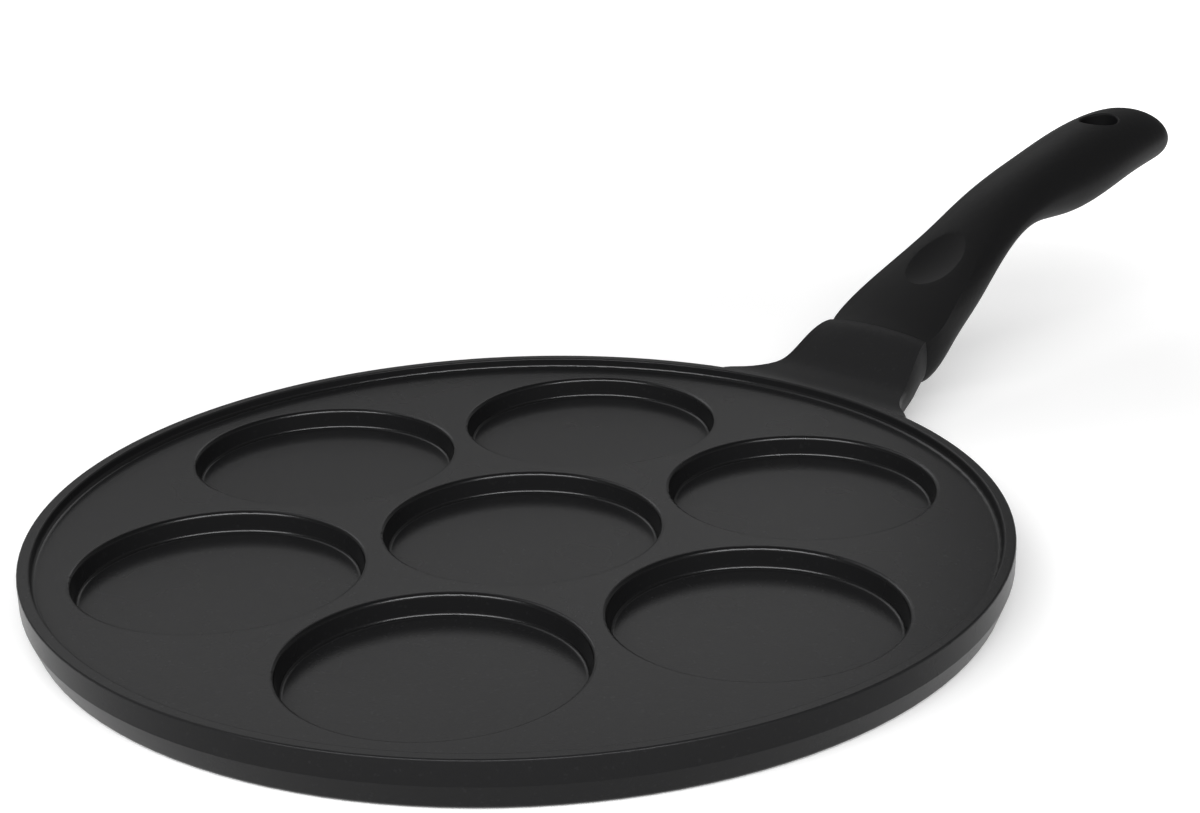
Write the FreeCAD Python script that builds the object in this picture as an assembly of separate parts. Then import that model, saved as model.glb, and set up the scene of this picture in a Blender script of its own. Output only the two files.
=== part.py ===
"""A cast pancake pan with seven round wells, a flared lug, a moulded handle and the screw that holds it.

The pan stands on z = 0 with its centre on the z axis, and its handle runs along +x. Lengths are millimetres.
"""
import FreeCAD
import Part
import math
import os

# Disc of the cast body
rim_width = 3.2
rim_edge_round = 0.6
pan_height = 13.5
outer_wall_height = 6.5
outer_wall_round = 0.4
tray_depth = 3.1
tray_wall_lean = 0.3
tray_foot_round = 1.3

# Base under the outer wall: its side leans in from the wall's lower edge
base_side_lean = 20.0
base_corner_round = 2.0

# Wells: one in the middle and a ring of six
ring_wells = 6
well_radius = 36.9
well_gap = 6.6
well_to_rim = 12.7
well_depth = 5.8
well_draft = 8.0
well_mouth_round = 1.3
well_foot_round = 1.1

# Lug of the cast body: evenly spread shares that draw its climb to the seam and its flare into the rim
lug_length = 31.0
lug_root_drop = 0.35
lug_root_inset = 0.3
lug_root_half_width = 37.0
lug_climb = (0.0, 0.0, 0.0, 0.02, 0.05, 0.50, 0.92, 1.015, 1.0)
lug_flare = (1.0, 1.02, 0.66, 0.42, 0.28, 0.19, 0.10, 0.02, 0.0)
lug_sections = 13
lug_end_round = 0.8

# Section at the seam, shared by the lug and the handle
seam_half_width = 18.7
seam_top = 24.9
seam_thickness = 16.7
seam_crown = 1.3
seam_top_oval_share = 0.12
seam_under_oval_share = 0.5
lug_lip = 0.35

# Tang of the cast body inside the handle
tang_length = 36.0
tang_width = 20.0
tang_thickness = 7.0
tang_tilt = 25.0
tang_root = 8.0
tang_clearance = 0.25

# Handle: evenly spread shares that draw the climb of its top, and widths and thicknesses that draw its
# outline. A smooth line starts and ends at its end values, and those between only pull it their way.
handle_length = 163.0
handle_rise = 43.3
handle_climb = (0.0, 0.12, 0.375, 0.75, 0.905, 1.042, 1.037, 1.002)
flank_half_width = 20.3
flank_thickness = 20.3
neck_half_width = 13.3
neck_thickness = 10.3
palm_half_width = 17.4
palm_thickness = 25.6
grip_half_width = 18.2
grip_thickness = 21.8
end_half_width = 15.5
end_thickness = 17.9
end_round_length = 16.0
end_shape_power = 2.3
end_blunt_share = 0.3
end_drop_share = 0.5
edge_fade_length = 73.0
seam_edge_round = 0.4
handle_sections = 10
end_sections = 5

# Thumb rest on the handle's top
thumb_distance = 31.5
thumb_half_length = 13.5
thumb_half_width = 10.4
thumb_depth = 1.4
thumb_ball_height = 8.0

# Hanging hole
hanging_hole_radius = 6.5
hanging_hole_from_end = 32.0
hanging_hole_round = 0.7

# Screw that holds the handle on the tang
screw_distance = 20.0
screw_radius = 2.25
screw_head_radius = 4.2
screw_head_height = 2.0
screw_head_round = 0.7
screw_wall = 1.6
screw_pocket_length = 12.0
screw_recess_width = 1.1
screw_recess_depth = 1.3
screw_recess_reach = 2.8
screw_clearance = 0.15

# Values that follow from the sizes above
ring_radius = 2 * well_radius + well_gap
rim_radius = ring_radius + well_radius + well_to_rim
plate_level = pan_height - tray_depth
well_floor = plate_level - well_depth
wall_low = pan_height - outer_wall_height
seam_x = rim_radius + lug_length
hanging_hole_x = seam_x + handle_length - hanging_hole_from_end
seam_middle = seam_top - seam_thickness / 2
up = FreeCAD.Vector(0, 0, 1)
along_y = FreeCAD.Vector(0, 1, 0)
centre = FreeCAD.Vector(0, 0, 0)


def at(x, z):
    """Return a point in the pan's middle plane."""
    return FreeCAD.Vector(x, 0, z)


def rounded_outline(corners):
    """Return a face in the xz plane from (x, z, corner radius) rows, each corner an arc of its radius."""
    points = [at(x, z) for x, z, _ in corners]
    edges = []
    ends = []
    for i, (_, _, radius) in enumerate(corners):
        here = points[i]
        back = (points[i - 1] - here).normalize()
        ahead = (points[(i + 1) % len(points)] - here).normalize()
        if radius <= 0:
            ends.append((here, None, here))
            continue
        half_angle = back.getAngle(ahead) / 2
        reach = radius / math.tan(half_angle)
        middle = here + (back + ahead).normalize() * (radius / math.sin(half_angle) - radius)
        ends.append((here + back * reach, middle, here + ahead * reach))
    for i, (start, middle, end) in enumerate(ends):
        if middle is not None:
            edges.append(Part.Arc(start, middle, end).toShape())
        edges.append(Part.makeLine(end, ends[(i + 1) % len(ends)][0]))
    return Part.Face(Part.Wire(edges))


def turned(outline):
    """Return the solid that an outline in the xz plane makes when it turns about the z axis."""
    return outline.revolve(centre, up, 360)


def disc():
    """Return the turned disc: base, outer wall, rim and tray."""
    base_radius = rim_radius - wall_low * math.tan(math.radians(base_side_lean))
    wall_in = rim_radius - rim_width
    return turned(rounded_outline([
        (0, 0, 0),
        (base_radius, 0, base_corner_round),
        (rim_radius, wall_low, outer_wall_round),
        (rim_radius, pan_height, rim_edge_round),
        (wall_in, pan_height, rim_edge_round),
        (wall_in - tray_wall_lean, plate_level, tray_foot_round),
        (0, plate_level, 0),
    ]))


def well_cutter(x, y):
    """Return what one well takes out of the plate, from its floor up through the rounded mouth."""
    lean = math.radians(well_draft)
    foot = well_radius - well_depth * math.tan(lean)
    outline = rounded_outline([
        (0, well_floor, 0),
        (foot, well_floor, well_foot_round),
        (well_radius, plate_level, 0),
        (well_radius, pan_height, 0),
        (0, pan_height, 0),
    ])
    cutter = turned(outline)
    cutter.translate(FreeCAD.Vector(x, y, 0))
    return cutter


def well_centres():
    """Return the middle of each well: one on the axis, and the ring with no well in line with the handle."""
    places = [(0.0, 0.0)]
    for i in range(ring_wells):
        turn = 2 * math.pi * (i + 0.5) / ring_wells
        places.append((ring_radius * math.cos(turn), ring_radius * math.sin(turn)))
    return places


def mouth_edges(shape):
    """Return the circles where the wells meet the plate."""
    found = []
    for edge in shape.Edges:
        curve = edge.Curve
        if not isinstance(curve, Part.Circle):
            continue
        if abs(curve.Center.z - plate_level) < 1e-4 and abs(curve.Radius - well_radius) < 1e-4:
            found.append(edge)
    return found


def with_wells(shape):
    """Return the disc with its wells cut and their mouths rounded."""
    for x, y in well_centres():
        shape = shape.cut(well_cutter(x, y))
    return shape.makeFillet(well_mouth_round, mouth_edges(shape))


def blend(share):
    """Return a smooth step from 0 to 1 as share goes from 0 to 1."""
    t = min(max(share, 0.0), 1.0)
    return t * t * (3 - 2 * t)


def mix(square, oval, share):
    """Return a value between the one for a square corner and the one for an oval corner."""
    return square * (1 - share) + oval * share


def section(x, half_width, top, under, top_corner, under_corner, crown):
    """Return a closed four-sided section at x.

    A corner value of 0 gives a square corner, and 1 gives a quarter of an oval, so that the edges of the
    seam fade out along the handle. The top is crowned where its corners are square.
    """
    half = (top - under) / 2
    middle = (top + under) / 2
    oval_reach = math.sqrt(0.5)
    oval_pull = 4 / 3 * (math.sqrt(2) - 1) * oval_reach
    top_y = half_width * mix(1, oval_reach, top_corner)
    top_z = middle + mix(half - crown, half * oval_reach, top_corner)
    low_y = half_width * mix(1, oval_reach, under_corner)
    low_z = middle - half * mix(1, oval_reach, under_corner)
    side = (top_z - low_z) / 3

    def curve(*points):
        bezier = Part.BezierCurve()
        bezier.setPoles([FreeCAD.Vector(x, y, z) for y, z in points])
        return bezier.toShape()

    top_in = top_y - mix(2 / 3 * top_y, oval_pull * half_width, top_corner)
    top_up = top_z + mix(4 / 3 * crown, oval_pull * half, top_corner)
    high_out = top_y + oval_pull * half_width * top_corner
    high_down = top_z - mix(side, oval_pull * half, top_corner)
    low_out = low_y + oval_pull * half_width * under_corner
    low_up = low_z + mix(side, oval_pull * half, under_corner)
    low_in = low_y - mix(2 / 3 * low_y, oval_pull * half_width, under_corner)
    low_down = low_z - oval_pull * half * under_corner
    return Part.Wire([
        curve((top_y, top_z), (top_in, top_up), (-top_in, top_up), (-top_y, top_z)),
        curve((-top_y, top_z), (-high_out, high_down), (-low_out, low_up), (-low_y, low_z)),
        curve((-low_y, low_z), (-low_in, low_down), (low_in, low_down), (low_y, low_z)),
        curve((low_y, low_z), (low_out, low_up), (high_out, high_down), (top_y, top_z)),
    ])


def smooth_line(levels):
    """Return a function of a share from 0 to 1: a smooth curve drawn by evenly spread levels."""
    spans = len(levels) - 3
    knots = [i / spans for i in range(spans + 1)]
    ends = [knots[0]] * 2 + knots + [knots[-1]] * 2
    points = [at(sum(ends[i:i + 3]) / 3, level) for i, level in enumerate(levels)]
    curve = Part.BSplineCurve()
    curve.buildFromPolesMultsKnots(points, [4] + [1] * (spans - 1) + [4], knots, False, 3)
    return lambda share: curve.value(share).z


def lug():
    """Return the lug, from inside the rim to its rounded end at the seam."""
    climb_line = smooth_line(lug_climb)
    flare_line = smooth_line(lug_flare)
    lug_end_half_width = seam_half_width + lug_lip
    root_top = pan_height - lug_root_drop
    root_under = wall_low + lug_root_drop
    end_top = seam_top + lug_lip
    end_under = seam_top - seam_thickness - lug_lip
    root_x = math.sqrt(rim_radius ** 2 - lug_root_half_width ** 2) - lug_root_inset
    wires = []
    for i in range(lug_sections):
        share = i / (lug_sections - 1)
        x = root_x + (seam_x - root_x) * share
        half_width = lug_end_half_width + (lug_root_half_width - lug_end_half_width) * flare_line(share)
        climb = climb_line(share)
        top = root_top + (end_top - root_top) * climb
        under = root_under + (end_under - root_under) * share
        wires.append(section(x, half_width, top, under,
                             seam_top_oval_share, seam_under_oval_share * share ** 3, seam_crown * climb))
    body = Part.makeLoft(wires, True, False)
    return body.makeFillet(lug_end_round, seam_edges(body))


def seam_edges(shape):
    """Return the edges of a flat end at the seam."""
    flat = [edge for edge in shape.Edges if edge.BoundBox.XLength < 1e-3]
    return [edge for edge in flat if abs(edge.BoundBox.XMin - seam_x) < 1e-3]


def tang_block(grow, length):
    """Return the tang's tilted block, grown by a clearance on every side."""
    width = tang_width + 2 * grow
    thickness = tang_thickness + 2 * grow
    corner = FreeCAD.Vector(-tang_root, -width / 2, -thickness / 2)
    block = Part.makeBox(tang_root + length, width, thickness, corner)
    block.rotate(centre, along_y, -tang_tilt)
    block.translate(at(seam_x, seam_middle))
    return block


def in_screw_place(shape):
    """Move a shape from the screw's own frame, head under z = 0 and shank up, to its place under the tang."""
    tilt = math.radians(tang_tilt)
    along = at(math.cos(tilt), math.sin(tilt)) * screw_distance
    across = at(math.sin(tilt), -math.cos(tilt)) * (tang_thickness / 2 + tang_clearance + screw_wall)
    shape.rotate(centre, along_y, -tang_tilt)
    shape.translate(at(seam_x, seam_middle) + along + across)
    return shape


def screw_shank(radius):
    """Return the screw's shank, or the hole for it, from the seat of its head through the tang."""
    return Part.makeCylinder(radius, screw_wall + tang_clearance + tang_thickness)


def pan_body():
    """Return the cast body: disc with wells, lug, and the tang with its screw hole."""
    body = with_wells(disc())
    keep_out = Part.makeCylinder(rim_radius - rim_width / 2, 2 * pan_height)
    body = body.fuse(lug().cut(keep_out))
    body = body.fuse(tang_block(0, tang_length))
    return body.cut(in_screw_place(screw_shank(screw_radius))).removeSplitter()


def handle_lines():
    """Return the handle's top level, thickness and half width as smooth lines over its length."""
    shoulder = (flank_half_width + neck_half_width) / 2
    taper = (grip_half_width + end_half_width) / 2
    thin_taper = (grip_thickness + end_thickness) / 2
    levels = [seam_top + share * handle_rise for share in handle_climb]
    thickness = [seam_thickness, seam_thickness, flank_thickness, neck_thickness,
                 palm_thickness, grip_thickness, thin_taper, end_thickness]
    half_width = [seam_half_width, flank_half_width, shoulder, neck_half_width,
                  palm_half_width, grip_half_width, taper, end_half_width]
    return smooth_line(levels), smooth_line(thickness), smooth_line(half_width)


def handle_form():
    """Return the handle's outer form, lofted from the seam to its rounded end."""
    top_line, thick_line, width_line = handle_lines()
    end_start = handle_length - end_round_length
    stops = [end_start * i / (handle_sections - 1) for i in range(handle_sections)]
    for i in range(end_sections):
        turn = math.pi / 2 * (i + 1) / (end_sections + 1)
        stops.append(end_start + end_round_length * math.sin(turn))
    wires = []
    for stop in stops:
        past = max(0.0, (stop - end_start) / end_round_length)
        close = (1 - past ** end_shape_power) ** (1 / end_shape_power)
        share = stop / handle_length
        full = thick_line(share) / 2
        half = full * (end_blunt_share + (1 - end_blunt_share) * close)
        middle = top_line(share) - full - end_drop_share * (full - half)
        fade = blend(stop / edge_fade_length)
        wires.append(section(seam_x + stop, width_line(share) * close, middle + half, middle - half,
                             mix(seam_top_oval_share, 1, fade), mix(seam_under_oval_share, 1, fade),
                             seam_crown))
    tip = at(seam_x + handle_length, top_line(1) - thick_line(1) / 2 * (1 + end_drop_share))
    form = Part.makeLoft(wires + [Part.Vertex(tip)], True, False)
    return form.makeFillet(seam_edge_round, seam_edges(form))


def thumb_ball():
    """Return the flattened ball that presses the thumb rest into the handle's top."""
    top_line = handle_lines()[0]
    before = top_line((thumb_distance - thumb_half_length) / handle_length)
    after = top_line((thumb_distance + thumb_half_length) / handle_length)
    tilt = math.degrees(math.atan2(after - before, 2 * thumb_half_length))
    spread = math.sqrt(1 - ((thumb_ball_height - thumb_depth) / thumb_ball_height) ** 2)
    ball = Part.makeSphere(1.0)
    scale = FreeCAD.Matrix()
    scale.scale(thumb_half_length / spread, thumb_half_width / spread, thumb_ball_height)
    ball = ball.transformGeometry(scale)
    ball.translate(at(0, thumb_ball_height - thumb_depth))
    ball.rotate(centre, along_y, -tilt)
    ball.translate(at(seam_x + thumb_distance, top_line(thumb_distance / handle_length)))
    return ball


def hanging_hole():
    """Return the upright hole near the handle's end."""
    foot = at(hanging_hole_x, 0)
    return Part.makeCylinder(hanging_hole_radius, seam_top + 2 * handle_rise, foot)


def hole_edges(shape):
    """Return the edges where the hanging hole breaks out of the handle."""
    low = hanging_hole_x - hanging_hole_radius
    high = hanging_hole_x + hanging_hole_radius
    boxes = [(edge, edge.BoundBox) for edge in shape.Edges]
    return [edge for edge, box in boxes if abs(box.XMin - low) < 0.01 and abs(box.XMax - high) < 0.01]


def handle():
    """Return the moulded handle with its hanging hole, thumb rest, tang socket and screw pocket."""
    form = handle_form().cut(hanging_hole())
    form = form.makeFillet(hanging_hole_round, hole_edges(form))
    form = form.cut(thumb_ball())
    form = form.cut(tang_block(tang_clearance, tang_length + tang_clearance))
    pocket = Part.makeCylinder(screw_head_radius + screw_clearance, screw_pocket_length, centre, -up)
    form = form.cut(in_screw_place(screw_shank(screw_radius + screw_clearance)))
    return form.cut(in_screw_place(pocket))


def handle_screw():
    """Return the screw: rounded head with a cross recess, and a shank up through the tang."""
    head = Part.makeCylinder(screw_head_radius, screw_head_height, centre, -up)
    rim = [edge for edge in head.Edges if abs(edge.BoundBox.ZMax + screw_head_height) < 1e-4]
    screw = head.makeFillet(screw_head_round, rim).fuse(screw_shank(screw_radius))
    for turn in (0, 90):
        corner = FreeCAD.Vector(-screw_recess_reach, -screw_recess_width / 2, -screw_head_height)
        slot = Part.makeBox(2 * screw_recess_reach, screw_recess_width, screw_recess_depth, corner)
        slot.rotate(centre, up, turn)
        screw = screw.cut(slot)
    return in_screw_place(screw.removeSplitter())


def main():
    """Build each piece and write it to its own file."""
    os.makedirs("parts", exist_ok=True)
    pieces = {"pan_body": pan_body(), "handle": handle(), "handle_screw": handle_screw()}
    for name, shape in pieces.items():
        solid = shape.Solids[0] if len(shape.Solids) == 1 else shape
        solid.exportStep(f"parts/{name}.step")
        print(f"{name}: {len(shape.Solids)} solid, {shape.Volume / 1000:.1f} cm3, valid {shape.isValid()}")


main()
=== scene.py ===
"""Looks of the seven-well pancake pan, built around its CAD frame and matched to one studio picture.

Each CAD node is shown by a piece with the same surface, shaded cleanly over its roundings. This script gives
each one its finish, and sets the white floor, the softboxes and the camera. All lengths are metres in the
frame's own axes: +X along the handle and +Z up.
"""

import logging
import math
from collections.abc import Sequence
from dataclasses import dataclass
from enum import Enum

import bmesh
import bpy
from mathutils import Matrix, Vector

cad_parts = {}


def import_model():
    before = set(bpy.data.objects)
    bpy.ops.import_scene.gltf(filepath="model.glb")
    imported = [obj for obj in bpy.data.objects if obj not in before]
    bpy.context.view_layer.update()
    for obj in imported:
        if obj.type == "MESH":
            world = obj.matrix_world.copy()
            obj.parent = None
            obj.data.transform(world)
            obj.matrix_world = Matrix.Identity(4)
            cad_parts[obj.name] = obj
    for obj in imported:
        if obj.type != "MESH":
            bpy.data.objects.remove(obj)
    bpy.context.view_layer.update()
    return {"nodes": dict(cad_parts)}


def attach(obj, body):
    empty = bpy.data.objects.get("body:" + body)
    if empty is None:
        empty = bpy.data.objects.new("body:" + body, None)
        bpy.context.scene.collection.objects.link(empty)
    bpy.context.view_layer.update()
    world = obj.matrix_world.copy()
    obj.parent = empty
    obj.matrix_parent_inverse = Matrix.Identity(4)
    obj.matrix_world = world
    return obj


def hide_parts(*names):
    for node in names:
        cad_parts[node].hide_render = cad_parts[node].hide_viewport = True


log = logging.getLogger("pan")

BODY = "root"
MM = 0.001
WHITE = (1.0, 1.0, 1.0, 1.0)

# Points of a mesh that lie nearer to each other than this are one point.
JOIN_REACH = 0.001 * MM

# A corner takes the exact direction of a rounding only if the cosine between the two is above this. The
# corners of other faces that touch the rounding keep their own.
SAME_FACE = 0.65

# How fast the roughness drifts over a surface, per metre, and how fine the octaves of a grain go.
CLOUDS_PER_METRE = 30.0
GRAIN_DETAIL = 2.0


class Node(Enum):
    """The frame's nodes."""

    PAN_BODY = "pan_body"
    HANDLE = "handle"
    HANDLE_SCREW = "handle_screw"


class Slot(Enum):
    """The record's material slots."""

    COAT = "nonstick_coat"
    PLASTIC = "handle_plastic"
    STEEL = "screw_steel"


@dataclass(frozen=True)
class Grain:
    """A fine random relief on a surface.

    Attributes:
        size: Width of one grain, in metres.
        depth: Height of the relief, in metres.
        stretch: How much finer the grain is across the brushing than along it, 1 for no brushing.
    """

    size: float
    depth: float
    stretch: float = 1.0


@dataclass(frozen=True)
class Flecks:
    """Small lighter flecks in a coat.

    Attributes:
        size: Distance between the flecks, in metres.
        share: Share of the cells that hold a fleck.
        lift: How much lighter than the coat a fleck is, as a factor.
    """

    size: float
    share: float
    lift: float


@dataclass(frozen=True)
class PaintedHighlight:
    """A painted highlight on the roundings between level faces and upright walls, where the coat is made a
    brighter metal.

    Attributes:
        colour: Linear colour of the reflection there.
        wall: Upward share of the normal up to which a face counts as an upright wall.
        full_from: Upward share from which the shine is all there.
        full_to: Upward share up to which it is all there.
        level: Upward share from which a face counts as level.
        ceiling: Height over the ground, in metres, above which there is no shine.
        fade: Height over which the shine goes out below the ceiling.
    """

    colour: tuple[float, float, float]
    wall: float
    full_from: float
    full_to: float
    level: float
    ceiling: float
    fade: float = 1.0 * MM


@dataclass(frozen=True)
class Matt:
    """A duller finish towards the handle.

    Attributes:
        start: Distance along X, in metres, where the finish starts to get duller.
        full: Distance where it is fully dull.
        extra: What the roughness gains there.
    """

    start: float
    full: float
    extra: float


@dataclass(frozen=True)
class Finish:
    """One surface finish, made of a principled shader with a procedural grain.

    Attributes:
        slot: The record's material slot that the finish belongs to.
        colour: Linear base colour.
        roughness: Roughness of the main reflection.
        ior: Index of refraction, which sets how strongly the surface reflects.
        metallic: 1 for bare metal and 0 for anything else.
        grain: Fine relief.
        cloud: Share by which the roughness drifts over a few centimetres.
        flecks: Lighter flecks, or None for a plain colour.
        shine: Painted highlight on the roundings, or None for an even one.
        matt: Duller finish towards the handle, or None for an even one.
    """

    slot: Slot
    colour: tuple[float, float, float]
    roughness: float
    ior: float
    metallic: float
    grain: Grain
    cloud: float
    flecks: Flecks | None = None
    shine: PaintedHighlight | None = None
    matt: Matt | None = None

    def build(self) -> bpy.types.Material:
        """Make the Blender material.

        Returns:
            The new material, named after its slot.
        """
        material = bpy.data.materials.new(self.slot.value)
        material.use_nodes = True
        tree = material.node_tree
        shader = tree.nodes["Principled BSDF"]
        shader.inputs["Base Color"].default_value = (*self.colour, 1.0)
        shader.inputs["Metallic"].default_value = self.metallic
        shader.inputs["IOR"].default_value = self.ior
        place = tree.nodes.new("ShaderNodeTexCoord").outputs["Object"]
        self._drift(tree, place, shader)
        self._relief(tree, place, shader)
        if self.flecks is not None:
            self._fleck(tree, place, shader)
        if self.shine is not None:
            self._paint_highlight(tree, place, shader)
        if self.matt is not None:
            self._dull(tree, place, shader)
        return material

    def _drift(self, tree: bpy.types.NodeTree, place: bpy.types.NodeSocket, shader: bpy.types.Node) -> None:
        """Let the roughness drift a little over the surface.

        Args:
            tree: The material's nodes.
            place: The point on the object.
            shader: The principled shader.
        """
        drift = tree.nodes.new("ShaderNodeTexNoise")
        drift.inputs["Scale"].default_value = CLOUDS_PER_METRE
        spread = tree.nodes.new("ShaderNodeMapRange")
        spread.inputs["To Min"].default_value = self.roughness * (1 - self.cloud)
        spread.inputs["To Max"].default_value = self.roughness * (1 + self.cloud)
        tree.links.new(place, drift.inputs["Vector"])
        tree.links.new(drift.outputs["Fac"], spread.inputs["Value"])
        tree.links.new(spread.outputs["Result"], shader.inputs["Roughness"])

    def _relief(self, tree: bpy.types.NodeTree, place: bpy.types.NodeSocket, shader: bpy.types.Node) -> None:
        """Give the surface its grain.

        Args:
            tree: The material's nodes.
            place: The point on the object.
            shader: The principled shader.
        """
        brush = tree.nodes.new("ShaderNodeMapping")
        brush.inputs["Scale"].default_value = (1.0, self.grain.stretch, 1.0)
        speck = tree.nodes.new("ShaderNodeTexNoise")
        speck.inputs["Scale"].default_value = 1 / self.grain.size
        speck.inputs["Detail"].default_value = GRAIN_DETAIL
        bump = tree.nodes.new("ShaderNodeBump")
        bump.inputs["Distance"].default_value = self.grain.depth
        tree.links.new(place, brush.inputs["Vector"])
        tree.links.new(brush.outputs["Vector"], speck.inputs["Vector"])
        tree.links.new(speck.outputs["Fac"], bump.inputs["Height"])
        tree.links.new(bump.outputs["Normal"], shader.inputs["Normal"])

    def _fleck(self, tree: bpy.types.NodeTree, place: bpy.types.NodeSocket, shader: bpy.types.Node) -> None:
        """Scatter small lighter flecks in the colour.

        Args:
            tree: The material's nodes.
            place: The point on the object.
            shader: The principled shader.
        """
        cells = tree.nodes.new("ShaderNodeTexVoronoi")
        cells.inputs["Scale"].default_value = 1 / self.flecks.size
        pick = tree.nodes.new("ShaderNodeSeparateColor")
        chosen = tree.nodes.new("ShaderNodeMapRange")
        chosen.inputs["From Min"].default_value = 1 - self.flecks.share
        colour = tree.nodes.new("ShaderNodeMix")
        colour.data_type = "RGBA"
        colour.inputs["A"].default_value = (*self.colour, 1.0)
        colour.inputs["B"].default_value = (*(value * self.flecks.lift for value in self.colour), 1.0)
        tree.links.new(place, cells.inputs["Vector"])
        tree.links.new(cells.outputs["Color"], pick.inputs["Color"])
        tree.links.new(pick.outputs["Red"], chosen.inputs["Value"])
        tree.links.new(chosen.outputs["Result"], colour.inputs["Factor"])
        tree.links.new(colour.outputs["Result"], shader.inputs["Base Color"])

    def _paint_highlight(self, tree: bpy.types.NodeTree, place: bpy.types.NodeSocket, shader: bpy.types.Node) -> None:
        """Paint a highlight on the roundings, which are made to reflect more than the level faces and the
        walls.

        Args:
            tree: The material's nodes.
            place: The point on the object.
            shader: The principled shader.
        """
        lean = tree.nodes.new("ShaderNodeSeparateXYZ")
        tree.links.new(tree.nodes.new("ShaderNodeNewGeometry").outputs["Normal"], lean.inputs["Vector"])
        rise = tree.nodes.new("ShaderNodeSeparateXYZ")
        tree.links.new(place, rise.inputs["Vector"])
        shine = self.shine
        highlight_mask = self._step(tree, rise.outputs["Z"], shine.ceiling, shine.ceiling - shine.fade)
        for start, full in ((shine.wall, shine.full_from), (shine.level, shine.full_to)):
            both = tree.nodes.new("ShaderNodeMath")
            both.operation = "MULTIPLY"
            tree.links.new(highlight_mask, both.inputs[0])
            tree.links.new(self._step(tree, lean.outputs["Z"], start, full), both.inputs[1])
            highlight_mask = both.outputs["Value"]
        # Painted highlight: where the mask is, the coat turns into a brighter metal.
        colour = tree.nodes.new("ShaderNodeMix")
        colour.data_type = "RGBA"
        colour.inputs["A"].default_value = (*self.colour, 1.0)
        colour.inputs["B"].default_value = (*shine.colour, 1.0)
        for link in shader.inputs["Base Color"].links:
            tree.links.new(link.from_socket, colour.inputs["A"])
        tree.links.new(highlight_mask, colour.inputs["Factor"])
        tree.links.new(colour.outputs["Result"], shader.inputs["Base Color"])
        tree.links.new(highlight_mask, shader.inputs["Metallic"])

    def _dull(self, tree: bpy.types.NodeTree, place: bpy.types.NodeSocket, shader: bpy.types.Node) -> None:
        """Raise the roughness towards the handle.

        Args:
            tree: The material's nodes.
            place: The point on the object.
            shader: The principled shader.
        """
        along = tree.nodes.new("ShaderNodeSeparateXYZ")
        more = tree.nodes.new("ShaderNodeMath")
        more.operation = "MULTIPLY_ADD"
        more.inputs[1].default_value = self.matt.extra
        tree.links.new(place, along.inputs["Vector"])
        tree.links.new(self._step(tree, along.outputs["X"], self.matt.start, self.matt.full), more.inputs[0])
        tree.links.new(shader.inputs["Roughness"].links[0].from_socket, more.inputs[2])
        tree.links.new(more.outputs["Value"], shader.inputs["Roughness"])

    @staticmethod
    def _step(tree: bpy.types.NodeTree, value: bpy.types.NodeSocket, start: float,
              full: float) -> bpy.types.NodeSocket:
        """Go smoothly from 0 at one value to 1 at another.

        Args:
            tree: The material's nodes.
            value: The value that is looked at.
            start: Where the result is 0.
            full: Where it is 1, above or below the start.

        Returns:
            The result.
        """
        step = tree.nodes.new("ShaderNodeMapRange")
        step.interpolation_type = "SMOOTHSTEP"
        step.inputs["From Min"].default_value = start
        step.inputs["From Max"].default_value = full
        tree.links.new(value, step.inputs["Value"])
        return step.outputs["Result"]


COAT = Finish(
    slot=Slot.COAT,
    colour=(0.0122, 0.0122, 0.0127),
    roughness=0.27,
    ior=1.17,
    metallic=0.0,
    grain=Grain(size=0.34 * MM, depth=0.021 * MM),
    cloud=0.05,
    flecks=Flecks(size=0.6 * MM, share=0.05, lift=1.4),
    # The roundings get a painted highlight, as a brighter metal reflection.
    shine=PaintedHighlight(
        colour=(0.042, 0.042, 0.043),
        wall=0.16,
        full_from=0.40,
        full_to=0.88,
        level=0.98,
        ceiling=13.7 * MM,
    ),
    matt=Matt(start=124.0 * MM, full=134.0 * MM, extra=0.25),
)
PLASTIC = Finish(
    slot=Slot.PLASTIC,
    colour=(0.0068, 0.0068, 0.0071),
    roughness=0.52,
    ior=1.20,
    metallic=0.0,
    grain=Grain(size=0.25 * MM, depth=0.010 * MM),
    cloud=0.04,
)
STEEL = Finish(
    slot=Slot.STEEL,
    colour=(0.55, 0.55, 0.56),
    roughness=0.30,
    ior=1.50,
    metallic=1.0,
    grain=Grain(size=0.60 * MM, depth=0.004 * MM, stretch=8.0),
    cloud=0.10,
)


@dataclass(frozen=True)
class Softbox:
    """A lamp behind a cloth, seen from the middle of the pan.

    Attributes:
        name: Name of the light.
        azimuth: Direction from the pan, in degrees from +X towards +Y.
        elevation: Height over the horizon, in degrees.
        distance: Distance from the middle of the pan.
        width: Width of the cloth.
        height: Height of the cloth.
        radiance: Brightness of the cloth.
    """

    name: str
    azimuth: float
    elevation: float
    distance: float
    width: float
    height: float
    radiance: float

    def build(self) -> bpy.types.Object:
        """Make the area light.

        Returns:
            The light object, turned to the middle of the pan.
        """
        turn, rise = math.radians(self.azimuth), math.radians(self.elevation)
        away = Vector((math.cos(rise) * math.cos(turn), math.cos(rise) * math.sin(turn), math.sin(rise)))
        data = bpy.data.lights.new(self.name, "AREA")
        data.shape = "RECTANGLE"
        data.size = self.width
        data.size_y = self.height
        data.energy = self.radiance * math.pi * self.width * self.height
        lamp = bpy.data.objects.new(self.name, data)
        bpy.context.scene.collection.objects.link(lamp)
        lamp.location = away * self.distance
        lamp.rotation_euler = away.to_track_quat("Z", "Y").to_euler()
        return lamp


SOFTBOXES = (
    Softbox(
        name="key_softbox", azimuth=215.0, elevation=45.0, distance=1.5,
        width=2.4, height=0.28, radiance=13.5,
    ),
    Softbox(
        name="back_softbox", azimuth=60.0, elevation=33.0, distance=2.2,
        width=2.2, height=0.7, radiance=1.38,
    ),
    Softbox(
        name="side_softbox", azimuth=98.0, elevation=50.0, distance=1.6,
        width=0.9, height=0.7, radiance=0.9,
    ),
)


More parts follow.
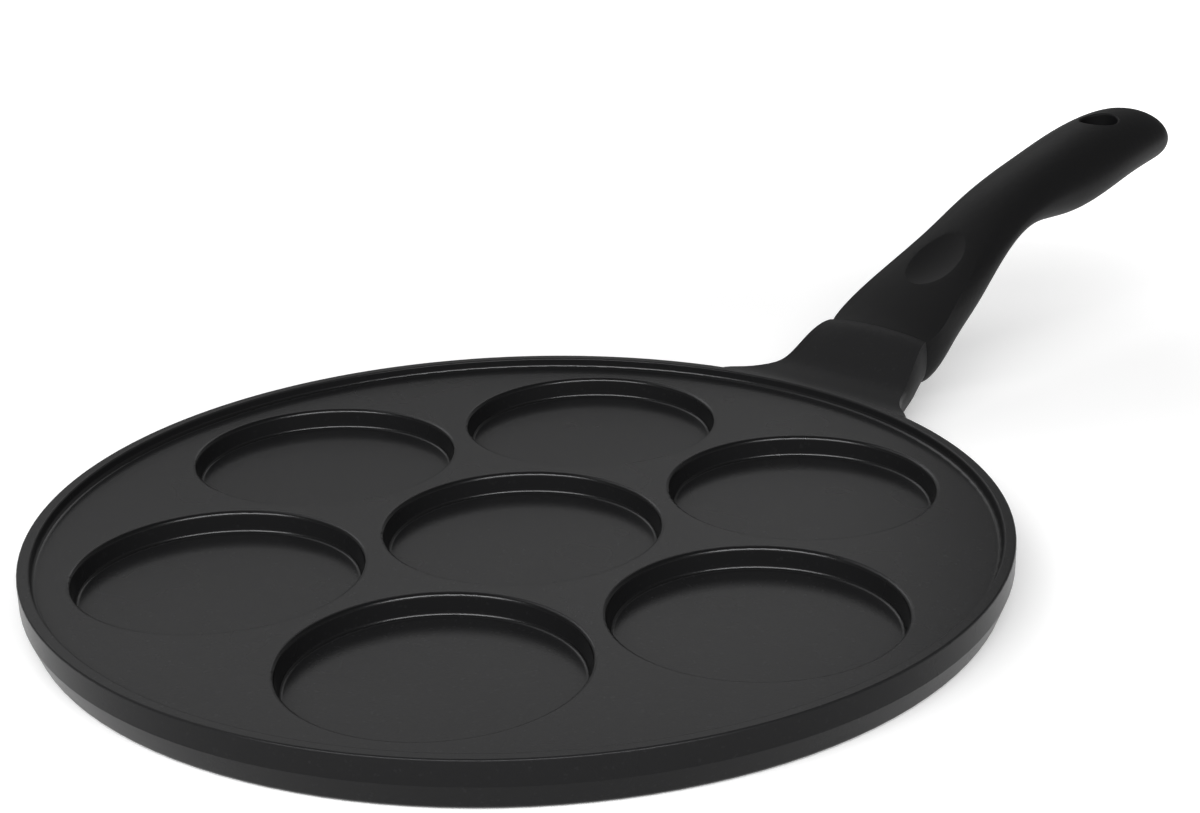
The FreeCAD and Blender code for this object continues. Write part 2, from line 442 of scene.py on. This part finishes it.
@dataclass(frozen=True)
class Studio:
    """The white floor and the surroundings.

    Attributes:
        floor_half: Half the floor's side.
        floor_colour: Grey level of the floor's paint.
        seen_near: White that the paint adds around the pan, for rays from the camera and from gloss.
        seen_far: The same far from the pan.
        near: Distance from the pan's middle where the far white starts to come in.
        far: Distance where it is all there.
        around_low: Brightness of the surroundings at the horizon.
        around_high: Brightness of the surroundings overhead.
        haze: Height over which the surroundings go from the one to the other, as the sine of the angle.
    """

    floor_half: float = 8.0
    floor_colour: float = 0.90
    seen_near: float = 0.28
    seen_far: float = 1.0
    near: float = 0.22
    far: float = 0.60
    around_low: float = 0.28
    around_high: float = 0.15
    haze: float = 0.80

    def build(self) -> None:
        """Make the floor and the world."""
        self._floor()
        self._world()

    def _floor(self) -> None:
        """Lay the floor under the pan."""
        half = self.floor_half
        corners = [(-half, -half, 0), (half, -half, 0), (half, half, 0), (-half, half, 0)]
        mesh = bpy.data.meshes.new("floor")
        mesh.from_pydata(corners, [], [(0, 1, 2, 3)])
        floor = bpy.data.objects.new("floor", mesh)
        bpy.context.scene.collection.objects.link(floor)
        mesh.materials.append(self._paint())

    def _paint(self) -> bpy.types.Material:
        """Make the floor's paint, which keeps the pan's shadow and goes to plain white away from it.

        Returns:
            The floor's material.
        """
        paint = bpy.data.materials.new("floor_paint")
        paint.use_nodes = True
        tree = paint.node_tree
        shader = tree.nodes["Principled BSDF"]
        shader.inputs["Base Color"].default_value = (*(self.floor_colour,) * 3, 1.0)
        shader.inputs["Roughness"].default_value = 1.0
        shader.inputs["Specular IOR Level"].default_value = 0.0
        shader.inputs["Emission Color"].default_value = WHITE
        place = tree.nodes.new("ShaderNodeTexCoord")
        reach = tree.nodes.new("ShaderNodeVectorMath")
        reach.operation = "LENGTH"
        white = tree.nodes.new("ShaderNodeMapRange")
        white.interpolation_type = "SMOOTHSTEP"
        white.inputs["From Min"].default_value = self.near
        white.inputs["From Max"].default_value = self.far
        white.inputs["To Min"].default_value = self.seen_near
        white.inputs["To Max"].default_value = self.seen_far
        shown = tree.nodes.new("ShaderNodeMath")
        shown.operation = "MULTIPLY"
        tree.links.new(place.outputs["Object"], reach.inputs[0])
        tree.links.new(reach.outputs["Value"], white.inputs["Value"])
        tree.links.new(white.outputs["Result"], shown.inputs[0])
        tree.links.new(self._looking(tree), shown.inputs[1])
        tree.links.new(shown.outputs["Value"], shader.inputs["Emission Strength"])
        return paint

    @staticmethod
    def _looking(tree: bpy.types.NodeTree) -> bpy.types.NodeSocket:
        """Tell the rays that show the floor from those that light the pan.

        Args:
            tree: The material's nodes.

        Returns:
            A value of 1 for rays from the camera, from gloss and through glass, and 0 for the others.
        """
        path = tree.nodes.new("ShaderNodeLightPath")
        first = tree.nodes.new("ShaderNodeMath")
        first.operation = "MAXIMUM"
        last = tree.nodes.new("ShaderNodeMath")
        last.operation = "MAXIMUM"
        tree.links.new(path.outputs["Is Camera Ray"], first.inputs[0])
        tree.links.new(path.outputs["Is Glossy Ray"], first.inputs[1])
        tree.links.new(first.outputs["Value"], last.inputs[0])
        tree.links.new(path.outputs["Is Transmission Ray"], last.inputs[1])
        return last.outputs["Value"]

    def _world(self) -> None:
        """Make the grey surroundings, pale low down and darker overhead."""
        world = bpy.data.worlds.new("studio")
        bpy.context.scene.world = world
        world.use_nodes = True
        tree = world.node_tree
        back = tree.nodes["Background"]
        back.inputs["Color"].default_value = WHITE
        place = tree.nodes.new("ShaderNodeTexCoord")
        height = tree.nodes.new("ShaderNodeSeparateXYZ")
        level = tree.nodes.new("ShaderNodeMapRange")
        level.interpolation_type = "SMOOTHSTEP"
        level.inputs["From Min"].default_value = 0.0
        level.inputs["From Max"].default_value = self.haze
        level.inputs["To Min"].default_value = self.around_low
        level.inputs["To Max"].default_value = self.around_high
        tree.links.new(place.outputs["Generated"], height.inputs["Vector"])
        tree.links.new(height.outputs["Z"], level.inputs["Value"])
        tree.links.new(level.outputs["Result"], back.inputs["Strength"])


@dataclass(frozen=True)
class PhotoCamera:
    """The camera of the picture, fitted to the circles of the rim and the wells.

    Attributes:
        place: The camera's position.
        azimuth: Direction that it looks in, in degrees from +X towards +Y.
        pitch: Angle that it looks down by, in degrees.
        roll: Turn about its own line of sight, in degrees.
        focal_px: Focal length in pixels of the picture.
        picture_px: Width and height of the picture in pixels.
        axis_px: Column of the picture that the line of sight meets.
        sensor: Sensor width in millimetres.
    """

    place: tuple[float, float, float] = (-0.36465, -0.37249, 0.23659)
    azimuth: float = 41.51
    pitch: float = 20.37
    roll: float = -0.73
    focal_px: float = 2122.0
    picture_px: tuple[int, int] = (1200, 813)
    axis_px: float = 661.0
    sensor: float = 36.0

    def build(self) -> bpy.types.Object:
        """Make the camera and set it as the scene's.

        Returns:
            The camera object.
        """
        width = self.picture_px[0]
        data = bpy.data.cameras.new("photo_camera")
        data.sensor_fit = "HORIZONTAL"
        data.sensor_width = self.sensor
        data.lens = self.focal_px * self.sensor / width
        data.shift_x = -(self.axis_px - width / 2) / width
        data.clip_start = 0.01
        camera = bpy.data.objects.new("photo_camera", data)
        bpy.context.scene.collection.objects.link(camera)
        heading = Matrix.Rotation(math.radians(self.azimuth - 90), 4, "Z")
        tilt = Matrix.Rotation(math.radians(90 - self.pitch), 4, "X")
        roll = Matrix.Rotation(math.radians(self.roll), 4, "Z")
        camera.matrix_world = Matrix.Translation(self.place) @ heading @ tilt @ roll
        bpy.context.scene.camera = camera
        return camera


@dataclass(frozen=True)
class Rounding:
    """The rounding of a corner in a profile that is turned round an upright axis.

    Attributes:
        axis: Where the axis stands, X and Y.
        corner: Distance from the axis and height of the corner before it was rounded.
        before: The same for a point of the profile before the corner.
        after: The same for a point after it.
        radius: Radius of the rounding.
        fit: How near to the rounding a point must lie to be on it.
    """

    axis: tuple[float, float]
    corner: tuple[float, float]
    before: tuple[float, float]
    after: tuple[float, float]
    radius: float
    fit: float = 0.01 * MM

    def centre(self) -> Vector:
        """Find the centre of the rounding in the profile.

        Returns:
            Its distance from the axis and its height.
        """
        corner = Vector(self.corner)
        back = (Vector(self.before) - corner).normalized()
        on = (Vector(self.after) - corner).normalized()
        return corner + (back + on).normalized() * (self.radius / math.sin(back.angle(on) / 2))

    def normal(self, centre: Vector, point: Vector) -> Vector | None:
        """Give the direction away from the centre at a point on the rounding.

        Args:
            centre: The rounding's centre in the profile.
            point: The point.

        Returns:
            The direction, or None for a point that isn't on the rounding.
        """
        out = Vector((point.x - self.axis[0], point.y - self.axis[1]))
        across, up = out.length - centre.x, point.z - centre.y
        if abs(math.hypot(across, up) - self.radius) > self.fit:
            return None
        out.normalize()
        return Vector((out.x * across, out.y * across, up)).normalized()


@dataclass(frozen=True)
class Profile:
    """The profile of the cast body, as far as its turned roundings follow from it.

    Attributes:
        middle: Where the pan's own axis stands, X and Y.
        ring_wells: How many wells stand round the middle one.
        ring_radius: Distance of their axes from the pan's.
        ring_start: Direction of the first of them, in degrees from +X towards +Y.
        plate: Height of the plate between the wells.
        floor: Height of the wells' floors.
        top: Height of the rim.
        mouth: Radius of a well at the plate.
        foot: Radius of a well at its floor.
        outside: Radius of the rim outside.
        inside: Radius of the rim inside, at its top.
        tray: Radius of the plate inside the rim.
        mouth_round: Radius of the rounding at a well's mouth.
        foot_round: Radius of the rounding at a well's foot.
        rim_round: Radius of the roundings at both edges of the rim's top.
        tray_round: Radius of the rounding between the plate and the rim.
    """

    middle: tuple[float, float] = (0.0, 0.0)
    ring_wells: int = 6
    ring_radius: float = 80.4 * MM
    ring_start: float = 30.0
    plate: float = 10.4 * MM
    floor: float = 4.6 * MM
    top: float = 13.5 * MM
    mouth: float = 36.9 * MM
    foot: float = 36.085 * MM
    outside: float = 130.0 * MM
    inside: float = 126.8 * MM
    tray: float = 126.5 * MM
    mouth_round: float = 1.3 * MM
    foot_round: float = 1.1 * MM
    rim_round: float = 0.6 * MM
    tray_round: float = 1.3 * MM

    def roundings(self) -> tuple[Rounding, ...]:
        """List the turned roundings: each well's mouth and foot, and those of the rim.

        Returns:
            The roundings.
        """
        found = [rounding for well in self._wells() for rounding in self._well_roundings(well)]
        outer, inner = (self.outside, self.top), (self.inside, self.top)
        foot, centre = (self.tray, self.plate), (0.0, self.plate)
        below = (self.outside, self.plate)
        found.append(Rounding(self.middle, outer, below, inner, self.rim_round))
        found.append(Rounding(self.middle, inner, outer, foot, self.rim_round))
        found.append(Rounding(self.middle, foot, inner, centre, self.tray_round))
        return tuple(found)

    def _wells(self) -> list[tuple[float, float]]:
        """Place the wells.

        Returns:
            X and Y of the axis of each well, the middle one first.
        """
        axes = [self.middle]
        for number in range(self.ring_wells):
            turn = math.radians(self.ring_start + 360.0 / self.ring_wells * number)
            axes.append((self.ring_radius * math.cos(turn), self.ring_radius * math.sin(turn)))
        return axes

    def _well_roundings(self, axis: tuple[float, float]) -> tuple[Rounding, Rounding]:
        """List the roundings of one well.

        Args:
            axis: X and Y of the well's axis.

        Returns:
            The rounding of its mouth and the one of its foot.
        """
        mouth, foot = (self.mouth, self.plate), (self.foot, self.floor)
        beyond, centre = (2 * self.mouth, self.plate), (0.0, self.floor)
        return (Rounding(axis, mouth, foot, beyond, self.mouth_round),
                Rounding(axis, foot, centre, mouth, self.foot_round))


@dataclass(frozen=True)
class Skin:
    """A piece that stands for a CAD node: the node's own surface, shaded cleanly over its roundings.

    Attributes:
        name: Name of the piece.
        node: CAD node that it stands for.
        finish: Its finish.
        roundings: Turned roundings whose shading is set exactly.
        crease: Angle between two faces, in degrees, from which their edge is shaded as a sharp one.
    """

    name: str
    node: Node
    finish: Finish
    roundings: tuple[Rounding, ...] = ()
    crease: float = 35.0

    def build(self, source: bpy.types.Object) -> bpy.types.Object:
        """Make the piece.

        Args:
            source: The CAD node's object, which stays as it is.

        Returns:
            The new piece, with its finish, riding on the pan's one body.
        """
        piece = bpy.data.objects.new(self.name, self._joined(source.data))
        bpy.context.scene.collection.objects.link(piece)
        piece.matrix_world = source.matrix_world.copy()
        self._shade(piece)
        self._round(piece)
        piece.data.materials.clear()
        piece.data.materials.append(self.finish.build())
        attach(piece, BODY)
        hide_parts(self.node.value)
        log.info("%s: %d faces, finish %s", self.name, len(piece.data.polygons), self.finish.slot.value)
        return piece

    def _joined(self, source: bpy.types.Mesh) -> bpy.types.Mesh:
        """Copy the CAD mesh and join the points that its faces have in common.

        Args:
            source: The CAD node's mesh.

        Returns:
            A mesh of its own with no shading normals.
        """
        mesh = source.copy()
        mesh.name = self.name
        form = bmesh.new()
        form.from_mesh(mesh)
        bmesh.ops.remove_doubles(form, verts=form.verts, dist=JOIN_REACH)
        form.to_mesh(mesh)
        form.free()
        if "custom_normal" in mesh.attributes:
            mesh.attributes.remove(mesh.attributes["custom_normal"])
        mesh.shade_smooth()
        mesh.set_sharp_from_angle(angle=math.radians(self.crease))
        return mesh

    @staticmethod
    def _shade(piece: bpy.types.Object) -> None:
        """Shade the roundings evenly up to the flat faces beside them.

        Args:
            piece: The piece, whose mesh is set to the shaded one.
        """
        even = piece.modifiers.new("even_shading", "WEIGHTED_NORMAL")
        even.mode = "FACE_AREA_WITH_ANGLE"
        even.keep_sharp = True
        shaded = piece.evaluated_get(bpy.context.evaluated_depsgraph_get())
        plain = piece.data
        piece.data = bpy.data.meshes.new_from_object(shaded)
        piece.modifiers.clear()
        bpy.data.meshes.remove(plain)

    def _round(self, piece: bpy.types.Object) -> None:
        """Set the shading of the turned roundings to their true directions.

        Args:
            piece: The piece.
        """
        mesh = piece.data
        exact = {}
        for rounding in self.roundings:
            centre = rounding.centre()
            for point in mesh.vertices:
                normal = rounding.normal(centre, point.co)
                if normal is not None:
                    exact[point.index] = normal
        if not exact:
            return
        normals = [corner.vector.copy() for corner in mesh.corner_normals]
        for loop in mesh.loops:
            if loop.vertex_index not in exact:
                continue
            normal = exact[loop.vertex_index]
            along = normal.dot(normals[loop.index])
            if abs(along) > SAME_FACE:
                normals[loop.index] = normal * math.copysign(1.0, along)
        mesh.normals_split_custom_set(normals)
        log.info("%s: %d points on roundings", self.name, len(exact))


@dataclass(frozen=True)
class Pan:
    """The pan itself: cast body, moulded handle and the screw that holds it.

    Attributes:
        skins: One piece for each CAD node.
    """

    skins: tuple[Skin, ...] = (
        Skin("cast_body", Node.PAN_BODY, COAT, Profile().roundings()),
        Skin("moulded_handle", Node.HANDLE, PLASTIC),
        Skin("steel_screw", Node.HANDLE_SCREW, STEEL),
    )

    def build(self, nodes: dict[str, bpy.types.Object]) -> None:
        """Make each piece.

        Args:
            nodes: The frame's CAD objects by name.
        """
        for skin in self.skins:
            skin.build(nodes[skin.node.value])


def main() -> None:
    """Build the picture around the frame."""
    logging.basicConfig(level=logging.INFO, format="%(name)s: %(message)s")
    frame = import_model()
    Pan().build(frame["nodes"])
    Studio().build()
    for softbox in SOFTBOXES:
        softbox.build()
    PhotoCamera().build()
    bpy.context.scene.view_settings.view_transform = "Standard"


if __name__ == "__main__":
    main()
